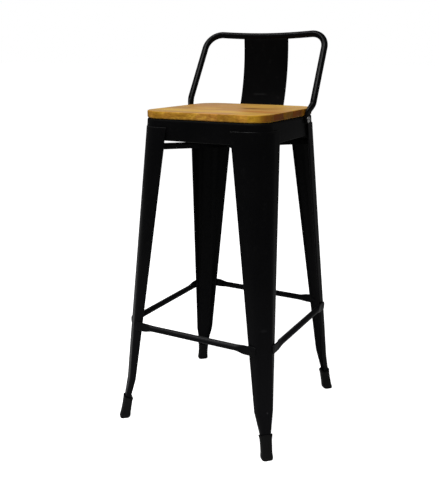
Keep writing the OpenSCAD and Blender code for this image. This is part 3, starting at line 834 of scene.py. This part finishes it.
def channel_section(x, low, shave=0):
    """Section of a brace at x: a channel open below, whose walls end at height low."""
    half, bend = BRACE_W / 2, BRACE_BEND
    centre = (half - bend, BRACE_TOP - bend)
    outer_r, inner_r = bend - shave, bend - BRACE_SHEET + shave
    outer = [Vector((centre[0] + outer_r, low)), *arc(centre, outer_r, 0, 90, 6)]
    inner = [Vector((centre[0] + inner_r, low)), *arc(centre, inner_r, 0, 90, 6)]
    outer += [Vector((-p.x, p.y)) for p in reversed(outer)]
    inner += [Vector((-p.x, p.y)) for p in reversed(inner)]
    return [Vector((x, p.x, p.y)) for p in outer + inner[::-1]]


def brace_flange():
    """The end of a brace, turned down against its leg."""
    mid_w, mid_h = BRACE_W / 2 - FLANGE_R, (BRACE_TOP - BRACE_LOW) / 2 - FLANGE_R
    levels = ((0, FLANGE_EASE), (FLANGE_EASE, 0), (BRACE_SHEET - FLANGE_EASE, 0), (BRACE_SHEET, FLANGE_EASE))
    rings = []
    for x, shave in levels:
        corners = [arc((side * mid_w, level * mid_h), FLANGE_R - shave, start, start + 90, 5)
                   for side, level, start in ((1, 1, 0), (-1, 1, 90), (-1, -1, 180), (1, -1, 270))]
        rings.append([Vector((BRACE_END - BRACE_SHEET + x, p.x, BRACE_MID + p.y))
                      for corner in corners for p in corner])
    return loft(rings)


def upper_bridge(reach):
    """Carries a brace over the other one: its walls are cut away below."""
    return [loft([channel_section(x, BRACE_MID + FIT_GAP, BRACE_SHAVE) for x in (-reach, reach)])]


def lower_bridge(reach):
    """Carries a brace under the other one: only the lower half of its walls is left."""
    inner, outer = BRACE_W / 2 - BRACE_SHEET + BRACE_SHAVE, BRACE_W / 2 - BRACE_SHAVE
    low, high = BRACE_LOW + BRACE_SHAVE, BRACE_MID - FIT_GAP
    strip = ((inner, low), (outer, low), (outer, high), (inner, high))
    return [loft([[Vector((x, side * y, z)) for y, z in strip] for x in (-reach, reach)])
            for side in (-1, 1)]


def add_brace(corner, turn, bridge):
    end, notch = BRACE_END - 0.4, BRACE_W / 2 + BRACE_GAP
    arms = [loft([channel_section(x, BRACE_LOW) for x in span]) for span in ((-end, -notch), (notch, end))]
    flanges = [turned(brace_flange(), half) for half in (0, 180)]
    part = turned(joined([*arms, *bridge(notch + BRACE_LAP), *flanges]), turn)
    add_piece(f"brace_channel_{corner}", part, COAT, [f"brace_{corner}"])


def add_brace_rivets():
    shape = rivet(BRACE_SHEET, END_RIVET_R, END_RIVET_HEAD_R, END_RIVET_HEAD_H, 0)
    end = moved(shape, placed((BRACE_END, 0, BRACE_MID), (-1, 0, 0)))
    rivets = joined([turned(end, 45 + 90 * i) for i in range(4)])
    add_piece("brace_rivet_set", rivets, COAT, ["brace_rivets"])


# ---------------------------------------------------------------- back

LEAN_OUT = Vector((0, math.cos(BACK_LEAN), -math.sin(BACK_LEAN)))
CORNER_H = RAIL_H - BACK_R * math.cos(BACK_LEAN)
TAB_X = skirt_face(TAB_LOW) + FIT_GAP + TAB_FLAT / 2


def lean_point(x, h):
    """Point of the uprights' plane at height h."""
    return Vector((x, RAIL_Y - (RAIL_H - h) * math.tan(BACK_LEAN), h))


def bow(x):
    """The rail's bow at distance x from its middle."""
    return Vector((0, RAIL_BOW, -RAIL_DIP)) * math.cos(math.pi / 2 * min(1, abs(x) / BACK_HALF))


def back_half_path():
    """Right half of the tube, from the tab to the middle of the rail: point, half sizes and squareness."""
    path = []
    for f in steps(0.12, math.pi / 2, 9):
        h = TAB_LOW + TAB_ROUND * (1 - math.cos(f))
        path.append((Vector((TAB_X, TAB_Y, h)), TAB_FLAT / 2, TAB_W / 2 * math.sin(f) ** 0.8, 4))
    path.append((Vector((TAB_X, TAB_Y, TAB_TOP_H - 2)), TAB_FLAT / 2, TAB_W / 2, 4))
    for h in steps(TAB_TOP_H, KNEE_TOP_H - 1, 18):
        t = smooth((h - TAB_TOP_H) / (KNEE_TOP_H - TAB_TOP_H))
        knee = lean_point(BACK_HALF_LOW, KNEE_TOP_H)
        point = Vector((mix(TAB_X, knee.x, t), mix(TAB_Y, knee.y, t * mix(0.55, 1, t)), h))
        path.append((point, mix(TAB_FLAT, BACK_D, t) / 2, mix(TAB_W, BACK_D, t) / 2, mix(4, 2, t)))
    r = BACK_D / 2
    for t in steps(0, 1, 10):
        point = lean_point(mix(BACK_HALF_LOW, BACK_HALF, t), mix(KNEE_TOP_H + 4, CORNER_H, t))
        path.append((point, r, r, 2))
    for f in steps(0, math.pi / 2, 22)[1:]:
        x = BACK_HALF - BACK_R * (1 - math.cos(f))
        h = CORNER_H + BACK_R * math.sin(f) * math.cos(BACK_LEAN)
        path.append((lean_point(x, h) + bow(x), r, r, 2))
    for x in steps(BACK_HALF - BACK_R, 0, 14)[1:]:
        path.append((lean_point(x, RAIL_H) + bow(x), r, r, 2))
    return path


def add_back_tube():
    right = back_half_path()
    left = [(Vector((-p.x, p.y, p.z)), hu, hv, power) for p, hu, hv, power in reversed(right[:-1])]
    path = right + left
    rings = []
    for i, (point, hu, hv, power) in enumerate(path):
        along = (path[min(len(path) - 1, i + 1)][0] - path[max(0, i - 1)][0]).normalized()
        rings.append(tube_ring(point, along, LEAN_OUT, hu, hv, power))
    add_piece("back_frame_tube", loft(rings), COAT, ["backrest_tube"], 45)


def slat_section(half_w, bead):
    """Section of the slat as (across, depth): a flat sheet with a rolled bead along each edge."""
    bead = max(bead, SLAT_T / 2 + 0.02)
    closing = 360 - math.degrees(math.acos(clamp01(1 - SLAT_T / bead)))
    turns = [math.radians(f) for f in steps(0, closing if bead > SLAT_T else 180, 16)]
    right = [Vector((half_w - bead + bead * math.sin(f), bead - bead * math.cos(f))) for f in turns]
    return right + [Vector((-p.x, p.y)) for p in reversed(right)]


def slat_route():
    """The slat's line in the plane of Y and Z, from its foot up to the rail, softly bent above the foot."""
    foot = [Vector((skirt_face(h) + FIT_GAP, h)) for h in steps(SLAT_LOW, SLAT_BEND_H - 7, 8)]
    low = math.asin((SLAT_MID_H - SLAT_BEND_H - 5) / SLAT_R)
    high = math.asin((SLAT_HIGH - SLAT_MID_H) / SLAT_R)
    centre = (SLAT_BACK - SLAT_R, SLAT_MID_H)
    blade = arc(centre, SLAT_R, math.degrees(-low), math.degrees(high), 36)
    knee = Vector((skirt_face(SLAT_BEND_H) + FIT_GAP + 0.1, SLAT_BEND_H))
    bend = [foot[-1] * (1 - t) ** 2 + knee * 2 * t * (1 - t) + blade[0] * t * t
            for t in steps(0, 1, 8)]
    return foot[:-1] + bend + blade[1:]


def add_slat():
    route = slat_route()
    rings = []
    for i, point in enumerate(route):
        along = (route[min(len(route) - 1, i + 1)] - route[max(0, i - 1)]).normalized()
        back = Vector((along.y, -along.x))
        below = SLAT_CORNER - min(SLAT_CORNER, point.y - SLAT_LOW)
        corner = SLAT_CORNER - math.sqrt(SLAT_CORNER ** 2 - below ** 2)
        bead = mix(SLAT_T / 2, SLAT_BEAD, smooth((point.y - SLAT_BEND_H) / SLAT_BEAD_EASE))
        section = slat_section(SLAT_W / 2 - corner, bead)
        rings.append([Vector((p.x, point.x + back.x * p.y, point.y + back.y * p.y)) for p in section])
    add_piece("slat_plate", loft(rings), COAT, ["back_slat"], 40)


# ---------------------------------------------------------------- bolts

def hexagon(r):
    """Distances from a hexagon's centre to its edge all the way round. Its corners are at r."""
    angles = full_turn(BOLT_SIDES)
    return [r * math.cos(math.pi / 6) / math.cos((f % (math.pi / 3)) - math.pi / 6) for f in angles]


def bolt(grip):
    """Domed bolt along +Z with a hexagon socket, and its shank from -grip to 0."""
    ball = (BOLT_HEAD_R ** 2 + BOLT_HEAD_H ** 2) / (2 * BOLT_HEAD_H)
    radii = steps(BOLT_SOCKET_R + 0.35, BOLT_HEAD_R - 0.15, 8)
    dome = [(r, BOLT_HEAD_H - ball + math.sqrt(ball ** 2 - r ** 2)) for r in radii]
    head = [(BOLT_HEAD_R, 0.3), (BOLT_HEAD_R - 0.3, 0)]
    shank = [(BOLT_R, 0), (BOLT_R, -grip + 0.5), (BOLT_R - 0.5, -grip)]
    rim_h = dome[0][1]
    rings = [ring_round(hexagon(BOLT_SOCKET_R), z) for z in (rim_h - BOLT_SOCKET_DEPTH, rim_h - 0.1)]
    rings += [circle(r, z, BOLT_SIDES) for r, z in dome + head + shank]
    return loft(rings)


def washer(r, hole, t):
    edge = 0.2
    profile = [(hole, 0), (r - edge, 0), (r, edge), (r, t - edge), (r - edge, t), (hole, t)]
    rings = [circle(q, z, BOLT_SIDES) for q, z in profile]
    return loft([*rings, rings[0]], caps=False)


def nut(r, hole, t):
    """Hexagon nut with chamfered corners."""
    profile = [(hole, 0), (r * 0.88, 0), (r, t * 0.12), (r, t * 0.88), (r * 0.88, t), (hole, t)]
    rings = [ring_round([min(limit, q) for q in hexagon(r)], z) for limit, z in profile]
    return loft([*rings, rings[0]], caps=False)


def add_bolts():
    """The two bolts of the back's tabs, and the two at the slat's foot, with their washers and nuts."""
    tab_face = TAB_X + TAB_FLAT / 2 + BOLT_GAP
    tab_nut = skirt_face(TAB_BOLT_H + NUT_R) - PAN_T - FIT_GAP - NUT_H
    slat_face = skirt_face(SLAT_BOLT_H - BOLT_HEAD_R) + FIT_GAP + SLAT_T + BOLT_GAP
    slat_nut = skirt_face(SLAT_BOLT_H + NUT_R) - PAN_T - FIT_GAP - NUT_H
    tab_bolt = bolt(tab_face + WASHER_T - tab_nut + BOLT_TAIL)
    slat_bolt = bolt(slat_face - slat_nut + BOLT_TAIL)
    washer_shape = washer(WASHER_R, WASHER_HOLE, WASHER_T)
    nut_shape = nut(NUT_R, NUT_HOLE, NUT_H)

    def at_tabs(part, x):
        return joined([moved(part, placed((s * x, TAB_Y, TAB_BOLT_H), (s, 0, 0))) for s in (-1, 1)])

    def at_slat(part, y):
        spots = [placed((s * SLAT_BOLT_X, y, SLAT_BOLT_H), (0, 1, 0), SLAT_BOLT_TURN * s) for s in (-1, 1)]
        return joined([moved(part, spot) for spot in spots])

    for name, part, node in (
        ("tab_bolts", at_tabs(tab_bolt, tab_face + WASHER_T + BOLT_GAP), "back_bolts"),
        ("tab_washers", at_tabs(washer_shape, tab_face), "back_washers"),
        ("tab_nuts", at_tabs(nut_shape, tab_nut), "back_nuts"),
        ("foot_bolts", at_slat(slat_bolt, slat_face), "slat_bolts"),
        ("foot_nuts", at_slat(nut_shape, slat_nut), "slat_nuts"),
    ):
        add_piece(name, part, ZINC, [node])


# ---------------------------------------------------------------- feet

def foot_ring(h, out_a, in_a, b, slant, r):
    """Rounded box round the leg's foot: out_a and in_a stand beyond the web and the free edges."""
    a1, a0 = web_a(h) + out_a, tip_a(h) - in_a
    mid = (a0 + a1) / 2
    corners = ((a1 - r, b - r, 0), (a0 + r, b - r, 90), (a0 + r, r - b, 180), (a1 - r, r - b, 270))
    ring = [p for ca, cb, start in corners for p in arc((ca, cb), r, start, start + 90, 7)]
    return [Vector((*to_xy(p.x, p.y), h + slant * (p.x - mid))) for p in ring]


def foot_cap():
    """One skin: up the inside of the pocket, over the rim and down the outside to the floor.

    A level holds what foot_ring() takes: height, reach out and in, half width, slant and corner radius.
    """
    rim = FOOT_H - 5
    b = TIP_MIN + FOOT_WALL
    levels = [
        (FOOT_FLOOR, 0.3, 1.2, TIP_MIN + 0.3, 0, 1),
        (FOOT_MID_H, 0.3, 1.2, tip_b(FOOT_MID_H) + 0.3, 0, 1),
        (rim - 0.6, 0.3, 1.2, tip_b(rim) + 0.3, FOOT_SLANT, 1),
        (rim - 0.1, 0.7, 2.4, tip_b(rim) + 0.7, FOOT_SLANT, 3),
        (rim, 1.2, 5.2, tip_b(rim) + 1.1, FOOT_SLANT, 6),
        (rim - 0.15, 1.8, 6.8, tip_b(rim) + 1.7, FOOT_SLANT, 7.5),
        (rim - 0.8, 2.2, 7.4, tip_b(rim) + FOOT_WALL, FOOT_SLANT, 8.5),
        (rim - 4, 2.2, 7.5, tip_b(rim - 4) + FOOT_WALL, FOOT_SLANT * 0.6, 8.5),
        (FOOT_MID_H, 2.2, 8, tip_b(FOOT_MID_H) + FOOT_WALL, 0, 8.5), (30, 2.2, 9, b, 0, 8.5),
        (14, 2.4, 10, b, 0, 8.5), (10, 2.7, 10.4, b + 0.35, 0, 8.5), (6.5, 3, 10.8, b + 0.7, 0, 8.5),
        (2.4, 3, 10.8, b + 0.7, 0, 8.5), (1, 2.7, 10.5, b + 0.4, 0, 8.2), (0.25, 2.1, 9.9, b - 0.2, 0, 7.6),
        (0, 1.4, 9.2, b - 0.9, 0, 7),
    ]
    return loft([foot_ring(*level) for level in levels])


def add_feet():
    add_at_corners("foot_cap", foot_cap(), RUBBER, "foot", 50)


# ---------------------------------------------------------------- studio

# Powers are in watts, and places in metres
ROOM_LIGHT = 0.2
ROOM_GLOSS = 0.12
FLOOR_GLOW = 0.84
KEY_POWER = 58
SIDE_POWER = 22
BACK_POWER = 4
RIM_POWER = 1.5
FLOOR_EDGE = 60
WHITE = (1, 1, 1, 1)
PALE, PALE_CLOUD, MIRRORED = (0.86, 0.86, 0.86), (0.9, 0.9, 0.9), (0.47, 0.47, 0.47)

# Camera, in metres and degrees, and the length of its lens in millimetres
CAMERA_PLACE = (0.749, -1.432, 0.878)
CAMERA_TILT = 74.01
CAMERA_TURN = 28.61
CAMERA_LENS = 48.79


def add_floor():
    """A plain pale floor that reaches the horizon. It glows a little, and it is dimmer in reflections."""
    material, tree, shader = new_material("pale_floor")
    pale = blend_colours(tree, noise(tree, object_place(tree), 30, 4), PALE, PALE_CLOUD)
    ray = add_node(tree, "LightPath").outputs
    tree.links.new(blend_colours(tree, ray["Is Glossy Ray"], pale, MIRRORED), shader.inputs["Base Color"])
    shader.inputs["Roughness"].default_value = 0.9
    shader.inputs["Specular IOR Level"].default_value = 0.08
    shader.inputs["Emission Color"].default_value = WHITE
    glow = remap(tree, ray["Is Camera Ray"], 0, 1, 0, FLOOR_GLOW)
    tree.links.new(glow, shader.inputs["Emission Strength"])
    mesh = bpy.data.meshes.new("studio_floor")
    corners = [(x * FLOOR_EDGE, y * FLOOR_EDGE, 0) for x, y in ((-1, -1), (1, -1), (1, 1), (-1, 1))]
    mesh.from_pydata(corners, [], [(0, 1, 2, 3)])
    mesh.materials.append(material)
    floor = bpy.data.objects.new("studio_floor", mesh)
    bpy.context.scene.collection.objects.link(floor)


def add_softbox(name, direction, distance, size, power):
    """An area light that faces the seat from the given direction."""
    light = bpy.data.lights.new(name, "AREA")
    light.shape = "RECTANGLE"
    light.size, light.size_y = size
    light.energy = power
    lamp = bpy.data.objects.new(name, light)
    away = Vector(direction).normalized()
    lamp.location = Vector((0, 0, SEAT_LOW * MM)) + away * distance
    lamp.rotation_euler = away.to_track_quat("Z", "Y").to_euler()
    lamp.visible_camera = False
    bpy.context.scene.collection.objects.link(lamp)


def add_studio():
    """A white backdrop in a dim room: a key light high in front, a weaker one on the left, two behind.

    The camera sees the backdrop as white. The stool is lit by it as by a dim room.
    """
    world = bpy.data.worlds.new("studio")
    bpy.context.scene.world = world
    world.use_nodes = True
    tree = world.node_tree
    backdrop = tree.nodes["Background"]
    backdrop.inputs["Color"].default_value = WHITE
    ray = add_node(tree, "LightPath").outputs
    room = remap(tree, ray["Is Glossy Ray"], 0, 1, ROOM_LIGHT, ROOM_GLOSS)
    tree.links.new(remap(tree, ray["Is Camera Ray"], 0, 1, room, 1), backdrop.inputs["Strength"])
    bpy.context.scene.view_settings.view_transform = "Standard"
    add_softbox("key_light", (0.29, -1.3, 2.11), 2.5, (0.9, 0.9), KEY_POWER)
    add_softbox("side_light", (-1.2, -0.5, 2.15), 2.5, (0.6, 0.6), SIDE_POWER)
    add_softbox("horizon_light", (-0.45, 0.86, 0.23), 3.3, (3, 1.2), BACK_POWER)
    add_softbox("rim_light", (0.85, 0.6, 0.45), 2.6, (0.9, 0.9), RIM_POWER)
    add_floor()


def add_camera():
    camera = bpy.data.cameras.new("camera")
    camera.lens = CAMERA_LENS
    view = bpy.data.objects.new("camera", camera)
    view.location = CAMERA_PLACE
    view.rotation_euler = (math.radians(CAMERA_TILT), 0, math.radians(CAMERA_TURN))
    bpy.context.scene.collection.objects.link(view)
    bpy.context.scene.camera = view


# ---------------------------------------------------------------- the model

add_camera()
add_studio()
add_seat()
add_pan()
add_screws()
add_legs()
add_footrest()
add_footrest_rivets()
add_brace("front_left", 45, upper_bridge)
add_brace("front_right", -45, lower_bridge)
add_brace_rivets()
add_back_tube()
add_slat()
add_bolts()
add_feet()
